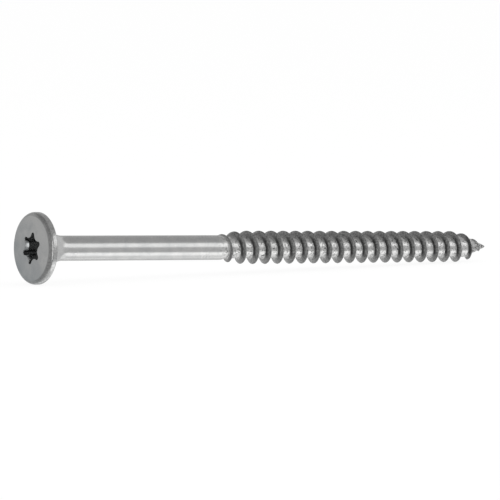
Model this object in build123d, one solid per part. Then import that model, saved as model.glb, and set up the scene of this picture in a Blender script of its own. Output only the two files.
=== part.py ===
from build123d import *
from math import atan2, cos, degrees, radians, sin
import os

# All sizes are in millimetres and all angles in degrees.
# The screw is drawn upright along +Z, from the face of its head at zero to its
# point, and is laid down on its head rim and its thread at the end.
# Angles round the axis are counted from +X towards +Y.

overall_length = 100.0

# Disc head
head_diameter = 12.70
head_thickness = 1.60
face_edge_width = 0.72
face_edge_drop = 0.36
back_corner_bevel = 0.16

# Cone under the head
neck_diameter = 7.80
neck_length = 3.75
neck_blend_radius = 4.0

# Smooth shank and its shoulder down to the core
shank_diameter = 4.42
shoulder_length = 2.2

# Drive recess
recess_lobes = 6
recess_across_lobes = 5.60
recess_across_flutes = 3.95
recess_lobe_radius = 0.448
recess_depth = 2.90
recess_angle = 12.4

# Thread, with its places counted back from the point
thread_length = 60.5
thread_pitch = 2.71
thread_diameter = 6.04
thread_end_diameter = 5.76
thread_knee_height = 0.56
thread_knee_width = 0.62
thread_base_width = 1.12
thread_start_angle = 259.0
run_out_length = 3.55
run_out_sink = 0.08
full_thread_to_point = 6.8
small_turn_diameter = 4.92
small_turn_step_slope = 0.3818
small_turn_to_point = 4.1

# Core under the thread
core_diameter = 3.90

# Point, with a low ridge winding down its cone
point_length = 5.0
point_flat_diameter = 0.24
point_ridge_height = 0.28
point_ridge_base_width = 0.52
point_ridge_to_point = 0.8

# Depth to which the ridges are rooted in the core and in the point
root_depth = 0.15

# Stretches in which the full thread is swept, each of a few turns
full_stretches = 3

# Turn of the lying screw about its own axis
rest_roll = -3.7

# Radii and places worked out from the sizes above
head_radius = head_diameter / 2
neck_radius = neck_diameter / 2
shank_radius = shank_diameter / 2
core_radius = core_diameter / 2
crest_radius = thread_diameter / 2
crest_end_radius = thread_end_diameter / 2
neck_end = head_thickness + neck_length
thread_start = overall_length - thread_length
full_start = thread_start + run_out_length
full_end = overall_length - full_thread_to_point
small_turn_step = (crest_end_radius - small_turn_diameter / 2) / small_turn_step_slope
small_start = full_end + small_turn_step
small_end = overall_length - small_turn_to_point
point_start = overall_length - point_length


def thread_angle(along):
    """Angle round the axis of the thread's crest at a distance from the head's face."""
    return thread_start_angle + 360 * (along - thread_start) / thread_pitch


def point_cone_radius(along):
    """Radius of the plain cone of the point at a distance from the head's face."""
    share = (overall_length - along) / point_length
    return point_flat_diameter / 2 + share * (core_radius - point_flat_diameter / 2)


def blank():
    """The headed blank: disc, neck, shank, core and point, revolved about the axis."""
    corners = [
        ((0, 0), 0),
        ((head_radius - face_edge_width, 0), 0),
        ((head_radius, face_edge_drop), 0),
        ((head_radius, head_thickness - back_corner_bevel), 0),
        ((head_radius - back_corner_bevel, head_thickness), 0),
        ((neck_radius, head_thickness), 0),
        ((shank_radius, neck_end), neck_blend_radius),
        ((shank_radius, thread_start), 0),
        ((core_radius, thread_start + shoulder_length), 0),
        ((core_radius, point_start), 0),
        ((point_flat_diameter / 2, overall_length), 0),
        ((0, overall_length), 0),
    ]
    outline = FilletPolyline(
        [point for point, radius in corners],
        radius=[radius for point, radius in corners],
        close=True,
    )
    return revolve(Plane.XZ * make_face(outline), Axis.Z)


def recess():
    """The lobed recess: lobe and flute arcs that run into each other, drawn down to a flat bottom."""
    reach = recess_across_lobes / 2
    waist = recess_across_flutes / 2
    lobe_step = 360 / recess_lobes
    lobe_centre = Vector(reach - recess_lobe_radius, 0)
    waist_point = Vector(waist, 0).rotate(Axis.Z, lobe_step / 2)

    # The flute's radius is the one that makes its arc tangent to the lobe's
    across = 2 * lobe_centre.X * cos(radians(lobe_step / 2))
    flute_radius = (
        lobe_centre.X**2 + waist**2 - across * waist - recess_lobe_radius**2
    ) / (2 * recess_lobe_radius - 2 * waist + across)
    flute_centre = waist_point * ((waist + flute_radius) / waist)
    join_share = recess_lobe_radius / (recess_lobe_radius + flute_radius)
    join = lobe_centre + (flute_centre - lobe_centre) * join_share
    other_join = Vector(join.X, -join.Y)

    lobe = ThreePointArc(other_join, (reach, 0), join)
    flute = ThreePointArc(join, waist_point, other_join.rotate(Axis.Z, lobe_step))
    outline = [Rot(0, 0, lobe_step * turn) * arc for turn in range(recess_lobes) for arc in (lobe, flute)]
    return Rot(0, 0, recess_angle) * extrude(make_face(outline), recess_depth)


def spiral(start, end, radius, end_radius):
    """The thread's helix between two distances, either way round, with its radius changing evenly."""
    length = abs(end - start)
    taper = degrees(atan2(end_radius - radius, length))
    helix = Helix(pitch=thread_pitch, height=length, radius=radius, cone_angle=taper)
    turn_over = 180 if end < start else 0
    return Pos(0, 0, start) * Rot(0, 0, thread_angle(start)) * Rot(turn_over, 0, 0) * helix


def ridge_section(path, height, sides):
    """A ridge's section across the start of its path: its heights and widths, up to a sharp crest."""
    foot = path @ 0
    across = Plane(origin=foot, x_dir=(foot.X, foot.Y, 0), z_dir=path % 0)
    one_side = [(up, -width / 2) for up, width in sides]
    other_side = [(up, width / 2) for up, width in reversed(sides)]
    return across * make_face(Polyline(*one_side, (height, 0), *other_side, close=True))


def end_of(ridge, path):
    """The flat end of a ridge, from which the next one goes on."""
    return ridge.faces().filter_by(GeomType.PLANE).sort_by_distance(path @ 1)[0]


def coarse_thread():
    """The single-start thread: its run-out, its full turns and the smaller turn before the point."""
    height = crest_radius - core_radius + root_depth
    widening = (thread_base_width - thread_knee_width) / thread_knee_height
    sides = [
        (0, thread_base_width + widening * root_depth),
        (root_depth + thread_knee_height, thread_knee_width),
    ]

    # The foot's radius at each place where one stretch of the thread ends and the next begins
    stretch = (full_end - full_start) / full_stretches
    narrowing = (crest_radius - crest_end_radius) / full_stretches
    full_foot = crest_radius - height
    small_foot = small_turn_diameter / 2 - height
    stations = [(full_start + stretch * i, full_foot - narrowing * i) for i in range(full_stretches + 1)]
    stations += [(small_start, small_foot), (small_end, small_foot)]

    sunk_foot = full_foot - (crest_radius - shank_radius) - run_out_sink
    run_out_path = spiral(full_start, thread_start, full_foot, sunk_foot)
    section = ridge_section(run_out_path, height, sides)
    ridges = [sweep(section, path=run_out_path, is_frenet=True)]
    for (start, foot), (end, end_foot) in zip(stations, stations[1:]):
        path = spiral(start, end, foot, end_foot)
        ridges.append(sweep(section, path=path, is_frenet=True))
        section = end_of(ridges[-1], path)
    return ridges


def point_ridge():
    """The low ridge that carries the thread on down the cone of the point."""
    end = overall_length - point_ridge_to_point
    foot = point_cone_radius(small_end) - root_depth
    end_foot = point_cone_radius(end) - root_depth
    path = spiral(small_end, end, foot, end_foot)
    section = ridge_section(path, point_ridge_height + root_depth, [(0, point_ridge_base_width)])
    return sweep(section, path=path, is_frenet=True)


def crest_radius_at(along):
    """Radius over the crest, on the full thread's taper or on the step that follows it."""
    if along <= full_end:
        share = (along - full_start) / (full_end - full_start)
        return crest_radius + share * (crest_end_radius - crest_radius)
    share = min(1, (along - full_end) / small_turn_step)
    return crest_end_radius + share * (small_turn_diameter / 2 - crest_end_radius)


def rest_tilt():
    """Dip of the axis when the rim's back corner and the first low crest to land both touch the ground."""
    under = (180 - rest_roll - thread_angle(full_end)) % 360
    rim_place = head_thickness - back_corner_bevel
    dips = []
    for turn in (under - 360, under):
        crest_place = full_end + thread_pitch * turn / 360
        dips.append(atan2(head_radius - crest_radius_at(crest_place), crest_place - rim_place))
    return min(dips)


def laid_down(screw):
    """The screw lying along +X, lowest at zero height, with its middle over the origin."""
    tilt = rest_tilt()
    lying = Rot(0, 90 + degrees(tilt), 0) * Rot(0, 0, 180 + rest_roll) * screw
    rim_depth = (head_thickness - back_corner_bevel) * sin(tilt) + head_radius * cos(tilt)
    return Pos(-lying.bounding_box().center().X, 0, rim_depth) * lying


def main():
    """Joins the screw into one solid, lays it down and writes it."""
    screw = blank() - recess()
    for ridge in (*coarse_thread(), point_ridge()):
        screw += ridge
    os.makedirs("parts", exist_ok=True)
    export_step(laid_down(screw), "parts/screw.step")


main()
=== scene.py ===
import math

import bmesh
import bpy
from mathutils import Matrix, Vector, noise


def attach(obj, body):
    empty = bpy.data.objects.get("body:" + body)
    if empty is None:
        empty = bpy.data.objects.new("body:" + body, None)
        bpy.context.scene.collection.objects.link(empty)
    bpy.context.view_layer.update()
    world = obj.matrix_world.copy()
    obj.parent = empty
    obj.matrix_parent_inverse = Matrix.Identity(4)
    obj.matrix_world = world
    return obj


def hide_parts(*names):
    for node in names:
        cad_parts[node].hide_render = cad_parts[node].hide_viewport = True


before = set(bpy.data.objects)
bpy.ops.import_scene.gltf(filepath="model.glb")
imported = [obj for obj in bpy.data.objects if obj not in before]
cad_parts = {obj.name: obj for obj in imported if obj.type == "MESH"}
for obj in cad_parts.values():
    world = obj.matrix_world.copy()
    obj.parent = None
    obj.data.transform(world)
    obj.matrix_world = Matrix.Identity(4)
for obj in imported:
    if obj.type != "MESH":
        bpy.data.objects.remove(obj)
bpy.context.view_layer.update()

print("frame loaded, nodes:", ", ".join(sorted(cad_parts)))

mm = 0.001

# Where the screw lies: its axis dips towards the point, as in the CAD frame
lying = {
    "dipDeg": 2.167128,
    "rollDeg": -3.7,
    "faceCentreMm": (-49.860060, 0.0, 6.399911),    # the middle of the head's face
}
toWorld = (
    Matrix.Translation(Vector(lying["faceCentreMm"]))
    @ Matrix.Rotation(math.radians(90 + lying["dipDeg"]), 4, "Y")
    @ Matrix.Rotation(math.radians(180 + lying["rollDeg"]), 4, "Z")
)


def alongCurve(stations, place):
    # straight lines between (place, value) stations
    if place <= stations[0][0]:
        return stations[0][1]
    for (a, valueA), (b, valueB) in zip(stations, stations[1:]):
        if place <= b:
            return valueA + (valueB - valueA) * (place - a) / (b - a)
    return stations[-1][1]


def blendMax(a, b, width):
    # the larger of two radii, with a fillet of about this width where they meet
    meet = max(width - abs(a - b), 0.0) / width
    return max(a, b) + meet * meet * width / 4


def speckle(x, y, z, size):
    # smooth noise from -1 to 1 with features of this size in mm
    return noise.noise(Vector((x / size, y / size, z / size)))


# The screw's own sizes, in mm along its axis from the face of the head

lobes = 6
columns = 18 * lobes        # round the axis

threadShape = {
    "pitch": 2.71,
    "startAngle": 259.0,
    "start": 39.5,
    "fullStart": 43.05,
    "fullEnd": 93.2,
    "smallStart": 94.3,
    "smallEnd": 95.9,
    "runOut": 3.55,         # the crest rises out of the shank from this far before the start
    "sunkAtRunOut": 0.87,
    "nearStart": 0.9,
    "sunkNearStart": 0.20,
    "riseAtStart": 0.07,
    "crest": 3.02,
    "crestAtFullStart": 2.90,
    "crestAtEnd": 2.88,
    "smallCrest": 2.46,
    "flankSlope": 2.26,     # fall for each mm of width, down from the crest
    "crestRound": 0.10,
    "rootFillet": 0.12,
}
threadFinish = {
    "nickSize": 0.9,
    "nickDepth": 0.03,
    "nickRound": 3.0,       # the nicks' noise is read on a cylinder of this radius
    "nickAlong": 1.7,       # and squeezed by this along the axis
    "nickPower": 1.5,
    "crestHeight": 0.9,     # height over the body that counts as fully raised
    "scuffedByPlace": ((37.9, 0.0), (39.9, 1.0)),
    "behindShare": 0.25,    # how much the root is shaded close behind the ridge
    "behindEnd": 1.2,
    "behindFade": 0.6,
    "behindFullHeight": 0.6,
    "cornerShadeOnFlank": 0.83,   # the painted corner shade's middle, as a share of the way from crest to foot
    "cornerShadeWidth": 0.15,
    "cornerShadeWiderAtEnd": 1.8,
    "cornerShadeFullHeight": 0.55,
    "footRound": 0.09,
    "cornerShadeByPlace": ((40.4, 0.0), (42.8, 1.0)),
    # painted shade in the corner, by the upward part of the outward direction, -1 under the screw and 1 on
    # its top
    "cornerShadeByUpness": ((-0.8425, 0.05), (-0.51, 1.0), (0.50, 1.0), (1.15, 0.0)),
}
shankShape = {
    "radius": 2.21,
    "core": 1.95,
    "shoulderEnd": 41.7,
    "rippleFrom": 33.8,
    "rippleTo": 38.2,
    "ripplePitch": 0.62,
    "rippleHeight": 0.010,
    "rows": 46,
}
pointShape = {
    "start": 95.0,
    "end": 100.0,
    "flat": 0.12,
    "easeBefore": 0.6,      # the core eases into the cone from this far before the start
    "easeWidth": 0.12,
    "ridgeBefore": 0.1,     # the last turn falls to a low ridge from this far before smallEnd
    "ridgeAfter": 0.25,     # to this far after it
    "ridgeHeight": 0.28,
    "ridgeHeightAtEnd": 0.224,
    "ridgeSlope": 1.15,
    "ridgeSlopeAfter": 0.4,
    "ridgeEnd": 99.2,
    "ridgeFade": 0.35,
    "ridgeSunk": 0.15,
    "buriedBeyond": (102.0, -1.0),
    "roughFrom": 95.6,      # the point is rough and speckled, where the blank was pinched off
    "roughEase": 0.5,
    "roughHeight": 0.085,
    "roughSize": 0.42,
    "specksFrom": 95.5,
    "speckSize": 0.36,
    "speckLevel": 0.08,
    "speckStrength": 2.6,
    "speckMost": 0.8,
    "raised": 0.15,
    "scuffed": 1.5,
    "tipRings": ((99.84, 0.165), (99.93, 0.118), (99.98, 0.062)),
}
headShape = {
    "mouthRound": 0.07,
    "mouthTurns": (0.5, 1.0, math.pi / 2),
    "faceRows": (0.03, 0.10, 0.22, 0.38, 0.56, 0.74, 0.90),
    "corners": (            # radius, place, fillet, steps, how scuffed, how raised (the rim gets some of the flanks' painted shade by it)
        (5.63, 0.0, 0.45, 5, 0.0, 0.0),
        (6.341, 0.28, 0.80, 10, 0.10, 0.20),
        (6.341, 1.56, 0.20, 6, 0.10, 0.20),
        (3.90, 1.60, 0.25, 5, 0.1, 0.0),
        (2.21, 5.35, 4.0, 12, 0.0, 0.0),
    ),
}
recessShape = {
    "angle": 12.4,
    "lobeReach": 2.80,
    "waist": 1.975,
    "lobeRadius": 0.448,
    "depth": 2.90,
    "bottomInset": 0.12,
    "bottomRings": (0.12, 0.35, 0.65, 1.0),
    "bottomCorner": ((-0.03, 0.04), (0, 0.14)),
    "wallRows": (0.75, 0.5, 0.28),
    "leadIn": 0.30,         # two flutes are worn back at their mouths by the driver
    "leadInDepth": 0.65,
    "leadInRows": (1.0, 0.9, 0.6, 0.3),
    "leadInHalfWidth": 25.0,
    "leadInFlatness": 1.7,
    "wornFlutes": ((-77.6, 1.0), (-137.6, 0.62)),
    "wornAtMouth": 0.02,
    "shadeAtMouth": 0.8,
}
threadGrid = {
    "from": 33.6,
    "to": 99.72,
    "halfRows": (0.03, 0.07, 0.12, 0.19, 0.27, 0.35, 0.43, 0.51, 0.59, 0.69, 0.83, 1.01, 1.20),
}


def coneRadius(along):
    share = (pointShape["end"] - along) / (pointShape["end"] - pointShape["start"])
    return pointShape["flat"] + share * (shankShape["core"] - pointShape["flat"])


def bodyRadius(along):
    radius, core = shankShape["radius"], shankShape["core"]
    share = (along - threadShape["start"]) / (shankShape["shoulderEnd"] - threadShape["start"])
    share = min(max(share, 0.0), 1.0)
    plain = radius + (core - radius) * share * share * (3 - 2 * share)
    if along > pointShape["start"] - pointShape["easeBefore"]:
        plain = -blendMax(-plain, -coneRadius(along), pointShape["easeWidth"])
    if shankShape["rippleFrom"] < along < shankShape["rippleTo"]:
        middle = (along - shankShape["rippleFrom"]) / (shankShape["rippleTo"] - shankShape["rippleFrom"])
        wave = math.sin(2 * math.pi * along / shankShape["ripplePitch"])
        plain += shankShape["rippleHeight"] * wave * math.sin(math.pi * middle)
    return plain


def aboveCone(along, height):
    # a station of the crest, this high over the cone of the point
    return along, coneRadius(along) + height


crestStations = (
    (threadShape["start"] - threadShape["runOut"], shankShape["radius"] - threadShape["sunkAtRunOut"]),
    (threadShape["start"] - threadShape["nearStart"], shankShape["radius"] - threadShape["sunkNearStart"]),
    (threadShape["start"], shankShape["radius"] + threadShape["riseAtStart"]),
    (threadShape["fullStart"], threadShape["crestAtFullStart"]),
    (threadShape["fullStart"] + threadShape["pitch"], threadShape["crest"]),
    (threadShape["fullEnd"], threadShape["crestAtEnd"]),
    (threadShape["smallStart"], threadShape["smallCrest"]),
    (threadShape["smallEnd"] - pointShape["ridgeBefore"], threadShape["smallCrest"]),
    aboveCone(threadShape["smallEnd"] + pointShape["ridgeAfter"], pointShape["ridgeHeight"]),
    aboveCone(pointShape["ridgeEnd"], pointShape["ridgeHeightAtEnd"]),
    aboveCone(pointShape["ridgeEnd"] + pointShape["ridgeFade"], -pointShape["ridgeSunk"]),
    pointShape["buriedBeyond"],
)
slopeStations = (
    (threadShape["smallEnd"] - pointShape["ridgeBefore"], threadShape["flankSlope"]),
    (threadShape["smallEnd"] + pointShape["ridgeSlopeAfter"], pointShape["ridgeSlope"]),
)


def ridgeRadius(crestPlace, fromCrest):
    # radius of the ridge's surface this far along the axis from its crest line
    roundness = threadShape["crestRound"]
    away = math.hypot(fromCrest, roundness) - roundness
    return alongCurve(crestStations, crestPlace) - alongCurve(slopeStations, crestPlace) * away


# One mesh for the whole screw, made of rings, a helical grid and caps

class Skin:
    # collects points in the screw's frame, with the finish that the material reads from them
    def __init__(self):
        self.points = []
        self.faces = []
        self.scuffed = []    # how rough the rolling and handling left it
        self.raised = []     # 0 in the thread's root, 1 on its crest; sets how much painted shade the flanks, rim and point get, and also holds the painted shade behind the ridge
        self.cornerShadeAndSpecks = []      # painted shade, 1 in the corner where the flank on the head's side meets the root; also the dark specks on the point
        # painted shade, 1 deep in the recess, less at its mouth and on the worn flutes
        self.inRecess = []

    def add(self, x, y, z, scuffed=0.0, raised=0.0, cornerShadeAndSpecks=0.0, inRecess=0.0):
        self.points.append((x, y, z))
        self.scuffed.append(scuffed)
        self.raised.append(raised)
        self.cornerShadeAndSpecks.append(cornerShadeAndSpecks)
        self.inRecess.append(inRecess)
        return len(self.points) - 1

    def bridge(self, ringA, ringB):
        for j in range(len(ringA)):
            k = (j + 1) % len(ringA)
            self.faces.append((ringA[j], ringA[k], ringB[k], ringB[j]))

    def cap(self, ring, tip):
        for j in range(len(ring)):
            self.faces.append((ring[j], ring[(j + 1) % len(ring)], tip))


def columnAngle(j):
    return math.radians(recessShape["angle"] + 360.0 * j / columns)


def roundRing(skin, radius, along, scuffed=0.0, raised=0.0):
    ring = []
    for j in range(columns):
        a = columnAngle(j)
        ring.append(skin.add(radius * math.cos(a), radius * math.sin(a), along, scuffed, raised))
    return ring


def recessOutline(j):
    # point and outward normal on the six-lobe outline, spaced evenly along its arcs
    lobeR, waist = recessShape["lobeRadius"], recessShape["waist"]
    lobeCentre = recessShape["lobeReach"] - lobeR
    halfSector = math.pi / lobes
    across = 2 * lobeCentre * math.cos(halfSector)
    fluteR = (lobeCentre**2 + waist**2 - across * waist - lobeR**2) / (2 * lobeR - 2 * waist + across)
    fluteX = (waist + fluteR) * math.cos(halfSector)
    fluteY = (waist + fluteR) * math.sin(halfSector)
    lobeHalf = math.atan2(fluteY, fluteX - lobeCentre)
    fluteHalf = lobeHalf - halfSector
    lobeLength = lobeHalf * lobeR
    fluteLength = fluteHalf * fluteR
    sector, inSector = divmod(j, columns // lobes)
    share = inSector / (columns // lobes)
    mirrored = share > 0.5
    walked = (1 - share if mirrored else share) * 2 * (lobeLength + fluteLength)
    if walked <= lobeLength:
        turn = walked / lobeR
        x = lobeCentre + lobeR * math.cos(turn)
        y = lobeR * math.sin(turn)
        nx, ny = math.cos(turn), math.sin(turn)
    else:
        turn = lobeHalf + math.pi - (walked - lobeLength) / fluteR
        x = fluteX + fluteR * math.cos(turn)
        y = fluteY + fluteR * math.sin(turn)
        nx, ny = -math.cos(turn), -math.sin(turn)
    lean = math.radians(recessShape["angle"]) + 2 * halfSector * (sector + (1 if mirrored else 0))
    if mirrored:
        y, ny = -y, -ny
    cosL, sinL = math.cos(lean), math.sin(lean)
    return (x * cosL - y * sinL, x * sinL + y * cosL), (nx * cosL - ny * sinL, nx * sinL + ny * cosL)


def wornShare(x, y):
    # how far the worn flutes reach round the recess, 1 in the middle of the most worn one
    share = 0.0
    for angle, amount in recessShape["wornFlutes"]:
        away = ((math.degrees(math.atan2(y, x)) - angle + 180) % 360 - 180) / recessShape["leadInHalfWidth"]
        share = max(share, amount * min(recessShape["leadInFlatness"] * (1 - away * away), 1.0))
    return share


def recessRing(skin, outline, grow, along, inRecess=1.0, shrink=1.0, worn=0.0):
    # grow moves the outline outwards, worn moves the worn flutes inwards below their mouths
    ring = []
    for (x, y), (nx, ny) in outline:
        out = grow - worn * wornShare(x, y)
        px, py = (x + nx * out) * shrink, (y + ny * out) * shrink
        # less painted shade on the worn flutes near the mouth
        remainingShade = inRecess - wornShare(x, y) if worn and along < recessShape["leadInDepth"] else inRecess
        ring.append(skin.add(px, py, along, inRecess=max(0.0, remainingShade)))
    return ring


def roundedCorners(corners, start, end):
    # rows along a profile, round each corner's fillet, with that corner's finish
    path = [start] + [corner[:2] for corner in corners] + [end]
    rows = []
    for before, (radius, place, fillet, steps, scuffed, raised), after in zip(path, corners, path[2:]):
        corner = Vector((radius, place))
        toBefore = (Vector(before) - corner).normalized()
        toAfter = (Vector(after) - corner).normalized()
        half = toBefore.angle(toAfter) / 2
        reach = fillet / math.tan(half)
        centre = corner + (toBefore + toAfter).normalized() * fillet / math.sin(half)
        first = corner + toBefore * reach - centre
        last = corner + toAfter * reach - centre
        turn = first.angle_signed(last)
        for i in range(steps + 1):
            a = -turn * i / steps
            x = centre.x + first.x * math.cos(a) - first.y * math.sin(a)
            y = centre.y + first.x * math.sin(a) + first.y * math.cos(a)
            rows.append((x, y, scuffed, raised))
    return rows


def makeHead(skin):
    # recess, face, rim and neck, from the recess's bottom outwards
    depth, mouth = recessShape["depth"], headShape["mouthRound"]
    leadIn, leadInDepth = recessShape["leadIn"], recessShape["leadInDepth"]
    outline = [recessOutline(j) for j in range(columns)]
    rings = []
    for share in recessShape["bottomRings"]:
        inset = -recessShape["bottomInset"]
        rings.append(recessRing(skin, outline, inset, depth, shrink=share, worn=leadIn))
    centre = skin.add(0, 0, depth, inRecess=1.0)
    skin.cap(rings[0], centre)
    wall = [(grow, depth - up, 1.0, 1.0) for grow, up in recessShape["bottomCorner"]]
    wall += [(0, depth * share, 1.0, 1.0) for share in recessShape["wallRows"]]
    wall += [(0, leadInDepth * share, 1.0, share) for share in recessShape["leadInRows"]]
    wall.append((0, mouth, recessShape["shadeAtMouth"], recessShape["wornAtMouth"]))
    for a in headShape["mouthTurns"]:
        wall.append((mouth * (1 - math.cos(a)), mouth * (1 - math.sin(a)), 0.0, 0.0))
    for grow, along, inside, worn in wall:
        rings.append(recessRing(skin, outline, grow, along, inside, worn=leadIn * worn))

    # from the middle of the face to the shank
    profile = roundedCorners(headShape["corners"], (0.0, 0.0), (shankShape["radius"], threadGrid["from"]))
    edge = profile[0][0]
    mouthRing = rings[-1]
    for share in headShape["faceRows"]:
        ring = []
        for j, index in enumerate(mouthRing):
            x, y, z = skin.points[index]
            a = columnAngle(j)
            toEdgeX, toEdgeY = edge * math.cos(a) - x, edge * math.sin(a) - y
            ring.append(skin.add(x + toEdgeX * share, y + toEdgeY * share, 0.0))
        rings.append(ring)
    rings += [roundRing(skin, *row) for row in profile]
    last = profile[-1][1]
    for i in range(1, shankShape["rows"] + 1):
        along = last + (threadGrid["from"] - last) * i / shankShape["rows"]
        rings.append(roundRing(skin, bodyRadius(along), along))
    for ringA, ringB in zip(rings, rings[1:]):
        skin.bridge(ringA, ringB)


def paintedShadeBehindRidge(u, ridgeHeight):
    # painted shade on the root close behind the ridge
    near = min(max((threadFinish["behindEnd"] - u) / threadFinish["behindFade"], 0.0), 1.0)
    return threadFinish["behindShare"] * near * min(ridgeHeight / threadFinish["behindFullHeight"], 1.0)


def paintedCornerShade(u, ridgeHeight, crest, upness):
    # painted shade in the corner follows the foot of the ridge, also where the ridge is low, and fades
    # towards the top and the underside
    foot = ridgeHeight / threadShape["flankSlope"] + threadFinish["footRound"]
    width = threadFinish["cornerShadeWidth"]
    if crest > threadShape["fullEnd"]:
        width *= threadFinish["cornerShadeWiderAtEnd"]
    away = (u + threadFinish["cornerShadeOnFlank"] * foot) / width
    dark = min(ridgeHeight / threadFinish["cornerShadeFullHeight"], 1.0) * math.exp(-away * away)
    dark *= alongCurve(threadFinish["cornerShadeByUpness"], upness)
    return dark * alongCurve(threadFinish["cornerShadeByPlace"], crest)


def crestNick(ca, sa, crest):
    # small nicks and rolling marks on the crest
    around, squeeze = threadFinish["nickRound"], threadFinish["nickAlong"]
    nick = speckle(around * ca, around * sa, crest * squeeze, threadFinish["nickSize"])
    return threadFinish["nickDepth"] * max(0.0, nick) ** threadFinish["nickPower"]


def makeThread(skin):
    # rows follow the helix, so that the crest is always on one of them
    pitch = threadShape["pitch"]
    half = threadGrid["halfRows"]
    rows = [-u for u in reversed(half)] + [0.0] + list(half)
    low, high = threadGrid["from"], threadGrid["to"]

    def crestPlace(i):
        angle = recessShape["angle"] + 360.0 * i / columns
        return threadShape["start"] + pitch * (angle - threadShape["startAngle"]) / 360.0

    first = math.floor((low + half[-1] - pitch - crestPlace(0)) / pitch * columns) - 1
    last = math.ceil((high - half[-1] + pitch - crestPlace(0)) / pitch * columns) + 1
    grid = {}
    for i in range(first, last + 1):
        a = columnAngle(i)
        crest = crestPlace(i)
        crestRadius = alongCurve(crestStations, crest)
        ca, sa = math.cos(a), math.sin(a)
        upness = (toWorld.to_3x3() @ Vector((ca, sa, 0))).z
        nick = crestNick(ca, sa, crest)
        for k, u in enumerate(rows):
            along = min(max(crest + u, low), high)
            plain = bodyRadius(along)
            if along > pointShape["roughFrom"]:
                rough = min((along - pointShape["roughFrom"]) / pointShape["roughEase"], 1.0)
                rough *= pointShape["roughHeight"]
                plain += rough * speckle(plain * ca, plain * sa, along, pointShape["roughSize"])
            ridge = ridgeRadius(crest, along - crest) - nick
            radius = blendMax(plain, ridge, threadShape["rootFillet"])
            ridgeHeight = max(crestRadius - plain, 0.0)
            scuffed = alongCurve(threadFinish["scuffedByPlace"], along)
            raised = min(max((radius - plain) / threadFinish["crestHeight"], 0.0), 1.0)
            if u > 0:
                raised = max(raised, paintedShadeBehindRidge(u, ridgeHeight))
            cornerShadeAndSpecks = paintedCornerShade(u, ridgeHeight, crest, upness)
            if along > pointShape["specksFrom"]:
                # the rough point has dark specks
                scuffed = pointShape["scuffed"]
                raised = max(raised, pointShape["raised"])
                dark = speckle(radius * ca, radius * sa, along, pointShape["speckSize"])
                dark = pointShape["speckStrength"] * (dark - pointShape["speckLevel"])
                cornerShadeAndSpecks = max(cornerShadeAndSpecks, min(dark, pointShape["speckMost"]))
            grid[i, k] = skin.add(radius * ca, radius * sa, along, scuffed, raised, cornerShadeAndSpecks)
    top = len(rows) - 1
    for i in range(first, last):
        for k in range(top):
            skin.faces.append((grid[i, k], grid[i + 1, k], grid[i + 1, k + 1], grid[i, k + 1]))
        if i + columns + 1 <= last:
            skin.faces.append((
                grid[i, top], grid[i + 1, top], grid[i + columns + 1, 0], grid[i + columns, 0],
            ))


def makePoint(skin):
    # the point is slightly blunt
    rings = [roundRing(skin, bodyRadius(threadGrid["to"]), threadGrid["to"], 1.0)]
    for along, radius in pointShape["tipRings"]:
        rings.append(roundRing(skin, radius, along, 1.0))
    for ringA, ringB in zip(rings, rings[1:]):
        skin.bridge(ringA, ringB)
    tip = skin.add(0, 0, pointShape["end"], 1.0)
    skin.cap(rings[-1], tip)


weldMm = 0.0008     # points closer than this become one


def meshFromSkin(name, skin):
    mesh = bpy.data.meshes.new(name)
    mesh.from_pydata([toWorld @ Vector(p) * mm for p in skin.points], [], skin.faces)
    place = mesh.attributes.new("screwPlace", "FLOAT_VECTOR", "POINT")
    place.data.foreach_set("vector", [c for p in skin.points for c in p])
    for finish in ("scuffed", "raised", "cornerShadeAndSpecks", "inRecess"):
        mesh.attributes.new(finish, "FLOAT", "POINT").data.foreach_set("value", getattr(skin, finish))
    work = bmesh.new()
    work.from_mesh(mesh)
    bmesh.ops.remove_doubles(work, verts=work.verts, dist=weldMm * mm)
    bmesh.ops.dissolve_degenerate(work, edges=work.edges, dist=weldMm * mm)
    bmesh.ops.recalc_face_normals(work, faces=work.faces)
    work.to_mesh(mesh)
    work.free()
    for face in mesh.polygons:
        face.use_smooth = True
    piece = bpy.data.objects.new(name, mesh)
    bpy.context.scene.collection.objects.link(piece)
    return piece


skin = Skin()
makeHead(skin)
makeThread(skin)
makePoint(skin)
screw = meshFromSkin("platedScrew", skin)
print("screw mesh:", len(screw.data.vertices), "points,", len(screw.data.polygons), "faces")


def linear(hexColour):
    # sRGB hex to Blender's linear colour
    parts = [int(hexColour[i:i + 2], 16) / 255 for i in (1, 3, 5)]
    return tuple(p / 12.92 if p <= 0.04045 else ((p + 0.055) / 1.055) ** 2.4 for p in parts) + (1.0,)


def addNode(tree, kind, settings=None, inputs=None):
    # one node with its settings, its input values and its links
    node = tree.nodes.new(kind)
    for key, value in (settings or {}).items():
        setattr(node, key, value)
    for key, value in (inputs or {}).items():
        if isinstance(value, bpy.types.NodeSocket):
            tree.links.new(value, node.inputs[key])
        else:
            node.inputs[key].default_value = value
    return node


colourA, colourB, mixedColour = 6, 7, 2     # places of the colours on a Mix node


def blankMaterial(name):
    material = bpy.data.materials.new(name)
    material.use_nodes = True
    material.node_tree.nodes.clear()
    return material
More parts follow.
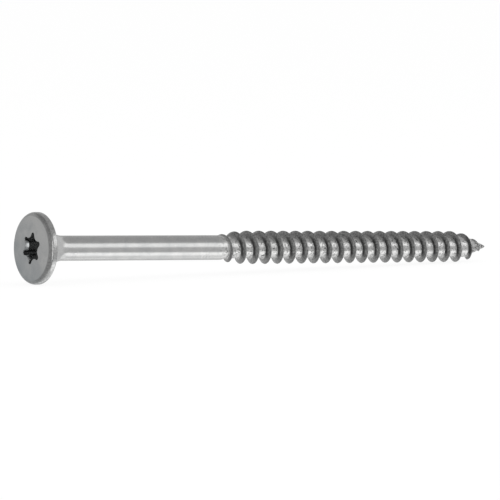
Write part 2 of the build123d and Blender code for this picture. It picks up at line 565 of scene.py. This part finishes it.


# Electro-galvanised zinc on cold-headed and thread-rolled steel wire: satin silver, nearly neutral.
# The drawn shank keeps long soft reflections with a slight waviness. The rolled thread is scuffed,
# so its reflections break into bright and dark specks; its flanks, the corners at its foot and the recess
# get painted shade.
zincPlating = {
    "bright": "#e4e4e3",
    "dull": "#d7d8d8",
    "dullFrom": 0.3,            # of the patches' noise, which runs from 0 to 1
    "dullTo": 0.7,
    "headTint": "#a9b3b8",      # bluish passivation, stronger on one side of the head
    "headTintShare": 0.56,
    "headTintTowards": (0, 0.75, -0.66),
    "headTintFromMm": 1.0,
    "headTintToMm": 10.0,
    "headTintBlotchMm": 8.0,    # how far the patches move its edge
    "headTintFadeMm": 1.2,      # along the axis, it fades out between these places
    "headTintEndMm": 2.2,
    "burnished": "#ebebea",
    "scuff": "#454646",
    "scuffFrom": 0.555,         # of the scuffs' noise
    "scuffTo": 0.65,
    "scuffShare": 0.9,
    # painted shade for the flanks and crests, mottled
    "flankDark": "#8f9090",
    "flankLight": "#dcdcdb",
    "flankFrom": 0.05,          # of how raised it is, from root to crest
    "flankTo": 0.35,
    "flankShare": 0.9,
    "mottleFrom": 0.35,
    "mottleTo": 0.65,
    # painted shade in the corners at the foot of the flanks, also the point's dark specks
    "cornerShadeAndSpeckColour": "#141414",
    "cornerShadeAndSpeckShare": 0.91,
    # painted shade in the recess
    "recess": "#babbbb",
    "roughness": 0.22,
    "roughnessDull": 0.25,
    "roughnessScuffed": -0.03,  # added where it is scuffed, because the dies burnish it
    "waveSizeMm": 1.2,          # slow waviness of the drawn wire, three times as long as wide
    "waveSquash": 0.33,
    "waveDepthMm": 0.003,
    "grainSizeMm": 0.30,        # real zinc crystals are under 0.01 mm, drawn coarse so that they show
    "grainDepthMm": 0.005,
    "patchSizeMm": 2.4,
    "scuffSizeMm": 0.38,        # marks of the rolling dies
    "scuffDepthMm": 0.05,
    "mottleSizeMm": 0.26,
}


def zincPlatedSteel():
    values = zincPlating
    material = blankMaterial("zincPlatedSteel")
    tree = material.node_tree
    place = addNode(tree, "ShaderNodeAttribute", {"attribute_name": "screwPlace"}).outputs["Vector"]
    scuffed = addNode(tree, "ShaderNodeAttribute", {"attribute_name": "scuffed"}).outputs["Fac"]
    raised = addNode(tree, "ShaderNodeAttribute", {"attribute_name": "raised"}).outputs["Fac"]
    cornerShadeAndSpecks = addNode(tree, "ShaderNodeAttribute", {"attribute_name": "cornerShadeAndSpecks"}).outputs["Fac"]
    inRecess = addNode(tree, "ShaderNodeAttribute", {"attribute_name": "inRecess"}).outputs["Fac"]

    stretched = addNode(tree, "ShaderNodeVectorMath", {"operation": "MULTIPLY"}, {
        0: place, 1: (1.0, 1.0, values["waveSquash"]),
    }).outputs["Vector"]
    wave = addNode(tree, "ShaderNodeTexNoise", None, {
        "Vector": stretched, "Scale": 1 / values["waveSizeMm"], "Detail": 1.0,
    }).outputs["Fac"]
    grain = addNode(tree, "ShaderNodeTexNoise", None, {
        "Vector": place, "Scale": 1 / values["grainSizeMm"], "Detail": 3.0,
    }).outputs["Fac"]
    patches = addNode(tree, "ShaderNodeTexNoise", None, {
        "Vector": place, "Scale": 1 / values["patchSizeMm"], "Detail": 3.0, "Distortion": 0.6,
    }).outputs["Fac"]
    scuffs = addNode(tree, "ShaderNodeTexNoise", None, {
        "Vector": place, "Scale": 1 / values["scuffSizeMm"], "Detail": 3.0, "Distortion": 1.2,
    }).outputs["Fac"]
    mottle = addNode(tree, "ShaderNodeTexNoise", None, {
        "Vector": place, "Scale": 1 / values["mottleSizeMm"], "Detail": 2.0,
    }).outputs["Fac"]

    # plating, bright with duller patches
    dullness = addNode(tree, "ShaderNodeMapRange", None, {
        "Value": patches, "From Min": values["dullFrom"], "From Max": values["dullTo"],
    }).outputs["Result"]
    plating = addNode(tree, "ShaderNodeMix", {"data_type": "RGBA"}, {
        "Factor": dullness, colourA: linear(values["bright"]), colourB: linear(values["dull"]),
    }).outputs[mixedColour]
    # a bluish cast that grows towards one side of the head
    tintSide = toWorld.to_3x3().inverted() @ Vector(values["headTintTowards"])
    towards = addNode(tree, "ShaderNodeVectorMath", {"operation": "DOT_PRODUCT"}, {
        0: place, 1: tuple(tintSide),
    }).outputs["Value"]
    blotchy = addNode(tree, "ShaderNodeMath", {"operation": "MULTIPLY_ADD"}, {
        0: patches, 1: values["headTintBlotchMm"], 2: towards,
    }).outputs["Value"]
    cast = addNode(tree, "ShaderNodeMapRange", None, {
        "Value": blotchy, "From Min": values["headTintFromMm"], "From Max": values["headTintToMm"],
        "To Min": 0.0, "To Max": values["headTintShare"],
    }).outputs["Result"]
    alongAxis = addNode(tree, "ShaderNodeSeparateXYZ", None, {"Vector": place}).outputs["Z"]
    onHead = addNode(tree, "ShaderNodeMapRange", None, {
        "Value": alongAxis, "From Min": values["headTintFadeMm"], "From Max": values["headTintEndMm"],
        "To Min": 1.0, "To Max": 0.0,
    }).outputs["Result"]
    cast = addNode(tree, "ShaderNodeMath", {"operation": "MULTIPLY"}, {0: cast, 1: onHead}).outputs["Value"]
    plating = addNode(tree, "ShaderNodeMix", {"data_type": "RGBA"}, {
        "Factor": cast, colourA: plating, colourB: linear(values["headTint"]),
    }).outputs[mixedColour]
    # where the dies scuffed it, it is burnished bright, with dark rubbed specks
    plating = addNode(tree, "ShaderNodeMix", {"data_type": "RGBA"}, {
        "Factor": scuffed, colourA: plating, colourB: linear(values["burnished"]),
    }).outputs[mixedColour]
    rubbed = addNode(tree, "ShaderNodeMapRange", None, {
        "Value": scuffs, "From Min": values["scuffFrom"], "From Max": values["scuffTo"],
        "To Min": 0.0, "To Max": values["scuffShare"],
    }).outputs["Result"]
    rubbed = addNode(tree, "ShaderNodeMath", {"operation": "MULTIPLY"}, {0: rubbed, 1: scuffed})
    plating = addNode(tree, "ShaderNodeMix", {"data_type": "RGBA"}, {
        "Factor": rubbed.outputs["Value"], colourA: plating, colourB: linear(values["scuff"]),
    }).outputs[mixedColour]
    # painted shade: the flanks and crests are painted darker than the roots, and mottled
    mottling = addNode(tree, "ShaderNodeMapRange", None, {
        "Value": mottle, "From Min": values["mottleFrom"], "From Max": values["mottleTo"],
    }).outputs["Result"]
    flankPaintedShade = addNode(tree, "ShaderNodeMix", {"data_type": "RGBA"}, {
        "Factor": mottling, colourA: linear(values["flankDark"]), colourB: linear(values["flankLight"]),
    }).outputs[mixedColour]
    onFlank = addNode(tree, "ShaderNodeMapRange", None, {
        "Value": raised, "From Min": values["flankFrom"], "From Max": values["flankTo"],
        "To Min": 0.0, "To Max": values["flankShare"],
    }).outputs["Result"]
    plating = addNode(tree, "ShaderNodeMix", {"data_type": "RGBA"}, {
        "Factor": onFlank, colourA: plating, colourB: flankPaintedShade,
    }).outputs[mixedColour]
    # painted shade in the corners at the foot of the flanks, with the point's dark specks, and painted shade
    # in the recess
    cornerShadeAndSpeckShare = addNode(tree, "ShaderNodeMath", {"operation": "MULTIPLY"}, {
        0: cornerShadeAndSpecks, 1: values["cornerShadeAndSpeckShare"],
    }).outputs["Value"]
    plating = addNode(tree, "ShaderNodeMix", {"data_type": "RGBA"}, {
        "Factor": cornerShadeAndSpeckShare, colourA: plating, colourB: linear(values["cornerShadeAndSpeckColour"]),
    }).outputs[mixedColour]
    plating = addNode(tree, "ShaderNodeMix", {"data_type": "RGBA"}, {
        "Factor": inRecess, colourA: plating, colourB: linear(values["recess"]),
    }).outputs[mixedColour]

    roughness = addNode(tree, "ShaderNodeMapRange", None, {
        "Value": patches, "From Min": values["dullFrom"], "From Max": values["dullTo"],
        "To Min": values["roughness"], "To Max": values["roughnessDull"],
    }).outputs["Result"]
    roughness = addNode(tree, "ShaderNodeMath", {"operation": "MULTIPLY_ADD"}, {
        0: scuffed, 1: values["roughnessScuffed"], 2: roughness,
    }).outputs["Value"]

    waveBump = addNode(tree, "ShaderNodeBump", None, {
        "Height": wave, "Strength": 1.0, "Distance": values["waveDepthMm"] * mm,
    }).outputs["Normal"]
    grainBump = addNode(tree, "ShaderNodeBump", None, {
        "Height": grain, "Strength": 1.0, "Distance": values["grainDepthMm"] * mm, "Normal": waveBump,
    }).outputs["Normal"]
    scuffHeight = addNode(tree, "ShaderNodeMath", {"operation": "MULTIPLY"}, {0: scuffs, 1: scuffed})
    scuffBump = addNode(tree, "ShaderNodeBump", None, {
        "Height": scuffHeight.outputs["Value"], "Strength": 1.0,
        "Distance": values["scuffDepthMm"] * mm, "Normal": grainBump,
    }).outputs["Normal"]
    shader = addNode(tree, "ShaderNodeBsdfPrincipled", None, {
        "Base Color": plating, "Metallic": 1.0, "Roughness": roughness, "Normal": scuffBump,
    }).outputs["BSDF"]
    addNode(tree, "ShaderNodeOutputMaterial", None, {"Surface": shader})
    return material


screw.data.materials.append(zincPlatedSteel())
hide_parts("screw")
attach(screw, "root")
print("screw plated")


# Studio: pale floor, white surroundings, soft boxes and grey cards seen only in the metal

def glowing(name, strength):
    material = blankMaterial(name)
    tree = material.node_tree
    glow = addNode(tree, "ShaderNodeEmission", None, {"Color": (1, 1, 1, 1), "Strength": strength})
    addNode(tree, "ShaderNodeOutputMaterial", None, {"Surface": glow.outputs["Emission"]})
    return material


def direction(azimuthDeg, elevationDeg):
    # azimuth 0 is straight in front of the screw, 90 is past its point
    a, e = math.radians(azimuthDeg), math.radians(elevationDeg)
    return Vector((math.sin(a) * math.cos(e), -math.cos(a) * math.cos(e), math.sin(e)))


# name: brightness, first and last azimuth, lowest and highest elevation, distance in m
cards = {
    "softBoxFront": (1.05, 20, 58, 7, 34, 3.0),
    "softBoxLow": (1.27, 20, 62, -60, -34, 3.0),
    "cardRecess": (1.2, -26, -8, -30, 24, 3.1),
    "cardFront": (0.38, -8, 20, -60, 36, 3.2),
    "cardFrontRight": (0.50, 20, 60, -34, 7, 3.2),
    "cardRight": (0.62, 60, 130, -36, 40, 3.2),
    "cardRightLow": (0.95, 62, 130, -58, -36, 3.2),
    "cardOver": (0.36, -30, 180, 36, 90, 3.4),
    "cardOverLeft": (0.22, -180, -30, 36, 90, 3.4),
    "cardLeft": (0.29, -125, -6, -60, 36, 3.2),
    "cardBehindLeft": (0.44, -178, -125, -18, 14, 3.2),
    "cardBehindLeftHigh": (0.38, -178, -146, 14, 36, 3.2),
    "cardBehindLeftLow": (0.42, -178, -146, -60, -18, 3.2),
    "cardFlanksHigh": (0.26, -146, -125, 14, 36, 3.2),
    "cardFlanksLow": (0.30, -146, -125, -60, -18, 3.2),
    "cardBehindRight": (0.45, 130, 182, -12, 36, 3.2),
    "cardBehindLow": (0.62, 120, 182, -50, -12, 3.1),
    "cardUnder": (0.66, -30, 180, -90, -59, 3.0),
    "cardUnderLeft": (0.40, -180, -30, -90, -59, 3.0),
}


cardStepDeg = 6     # the cards curve in steps of about this angle


def addCard(name, brightness, azimuthA, azimuthB, elevationA, elevationB, distance):
    # a curved card that covers that part of the view from the screw
    across = max(2, math.ceil((azimuthB - azimuthA) / cardStepDeg))
    upward = max(2, math.ceil((elevationB - elevationA) / cardStepDeg))
    points, faces = [], []
    for i in range(across + 1):
        for k in range(upward + 1):
            points.append(distance * direction(
                azimuthA + (azimuthB - azimuthA) * i / across,
                elevationA + (elevationB - elevationA) * k / upward,
            ))
    for i in range(across):
        for k in range(upward):
            a = i * (upward + 1) + k
            faces.append((a, a + upward + 1, a + upward + 2, a + 1))
    mesh = bpy.data.meshes.new(name)
    mesh.from_pydata(points, [], faces)
    mesh.materials.append(glowing(name + "Glow", brightness))
    card = bpy.data.objects.new(name, mesh)
    bpy.context.scene.collection.objects.link(card)
    card.visible_camera = False
    card.visible_diffuse = False
    card.visible_shadow = False
    card.visible_transmission = False


for name, values in cards.items():
    addCard(name, *values)

whiteSweep = {
    "reachM": 8,
    "paper": "#f4f4f4",
    "glow": 1.03,           # lit through, so that it stays white round the object
    "shadowShare": 0.12,    # how much of it is paper, which shows the shadow
}
floorReach = whiteSweep["reachM"]
floorCorners = [(x * floorReach, y * floorReach, 0) for x, y in ((-1, -1), (1, -1), (1, 1), (-1, 1))]
floorMesh = bpy.data.meshes.new("paleFloor")
floorMesh.from_pydata(floorCorners, [], [(0, 1, 2, 3)])
floor = bpy.data.objects.new("paleFloor", floorMesh)
bpy.context.scene.collection.objects.link(floor)
floor.visible_glossy = False  # the metal sees the low soft box past it, as on a glass table
floorMaterial = blankMaterial("whiteSweep")
tree = floorMaterial.node_tree
paper = addNode(tree, "ShaderNodeBsdfDiffuse", None, {"Color": linear(whiteSweep["paper"])})
glow = addNode(tree, "ShaderNodeEmission", None, {"Color": (1, 1, 1, 1), "Strength": whiteSweep["glow"]})
shadowShare = addNode(tree, "ShaderNodeMixShader", None, {
    0: whiteSweep["shadowShare"], 1: glow.outputs["Emission"], 2: paper.outputs["BSDF"],
})
addNode(tree, "ShaderNodeOutputMaterial", None, {"Surface": shadowShare.outputs["Shader"]})
floorMesh.materials.append(floorMaterial)

# white to the camera and in the metal, and softer as light
surroundings = {"seen": 1.0, "soft": 0.8}
world = bpy.data.worlds.new("studio")
bpy.context.scene.world = world
world.use_nodes = True
tree = world.node_tree
tree.nodes.clear()
rays = addNode(tree, "ShaderNodeLightPath")
seen = addNode(tree, "ShaderNodeMath", {"operation": "MAXIMUM"}, {
    0: rays.outputs["Is Camera Ray"], 1: rays.outputs["Is Glossy Ray"],
})
seen = addNode(tree, "ShaderNodeMath", {"operation": "MAXIMUM"}, {
    0: seen.outputs["Value"], 1: rays.outputs["Is Transmission Ray"],
})
soft = addNode(tree, "ShaderNodeBackground", None, {"Color": (1, 1, 1, 1), "Strength": surroundings["soft"]})
white = addNode(tree, "ShaderNodeBackground", None, {
    "Color": (1, 1, 1, 1), "Strength": surroundings["seen"],
})
both = addNode(tree, "ShaderNodeMixShader", None, {
    0: seen.outputs["Value"], 1: soft.outputs["Background"], 2: white.outputs["Background"],
})
addNode(tree, "ShaderNodeOutputWorld", None, {"Surface": both.outputs["Shader"]})

lamps = {
    "keyLamp": {"azimuth": 30, "elevation": 50, "distance": 0.9, "sizeM": 0.5, "watts": 1.2},
    "fillLamp": {"azimuth": -70, "elevation": 40, "distance": 1.0, "sizeM": 0.6, "watts": 0.6},
}
for name, values in lamps.items():
    light = bpy.data.lights.new(name, "AREA")
    light.shape = "SQUARE"
    light.size = values["sizeM"]
    light.energy = values["watts"]
    lamp = bpy.data.objects.new(name, light)
    lamp.location = direction(values["azimuth"], values["elevation"]) * values["distance"]
    lamp.rotation_euler = (-lamp.location).to_track_quat("-Z", "Y").to_euler()
    lamp.visible_camera = False
    lamp.visible_glossy = False
    bpy.context.scene.collection.objects.link(lamp)
print("studio lit")


# Camera, placed from where the head's face and the point are in the picture

view = {
    "lensMm": 318.4,
    "sensorMm": 36,
    "nearestM": 0.01,
    "farthestM": 50,
    "azimuthDeg": -34.883,
    "elevationDeg": 4.181,
    "faceDepthMm": 770.375,   # the face's centre from the lens, along the line of sight
    "faceRightMm": -38.12,
    "faceUpMm": 0.285,
}
a, e = math.radians(view["azimuthDeg"]), math.radians(view["elevationDeg"])
right = Vector((math.cos(a), math.sin(a), 0))
up = Vector((-math.sin(a) * math.sin(e), math.cos(a) * math.sin(e), math.cos(e)))
forward = Vector((-math.sin(a) * math.cos(e), math.cos(a) * math.cos(e), -math.sin(e)))
eye = Vector(lying["faceCentreMm"]) - right * view["faceRightMm"] - up * view["faceUpMm"]
eye = (eye - forward * view["faceDepthMm"]) * mm
cameraData = bpy.data.cameras.new("camera")
cameraData.lens = view["lensMm"]
cameraData.sensor_width = view["sensorMm"]
cameraData.clip_start = view["nearestM"]
cameraData.clip_end = view["farthestM"]
camera = bpy.data.objects.new("camera", cameraData)
camera.matrix_world = Matrix((
    (right.x, up.x, -forward.x, eye.x),
    (right.y, up.y, -forward.y, eye.y),
    (right.z, up.z, -forward.z, eye.z),
    (0, 0, 0, 1),
))
bpy.context.scene.collection.objects.link(camera)
bpy.context.scene.camera = camera
bpy.context.scene.view_settings.view_transform = "Standard"
print("camera placed")
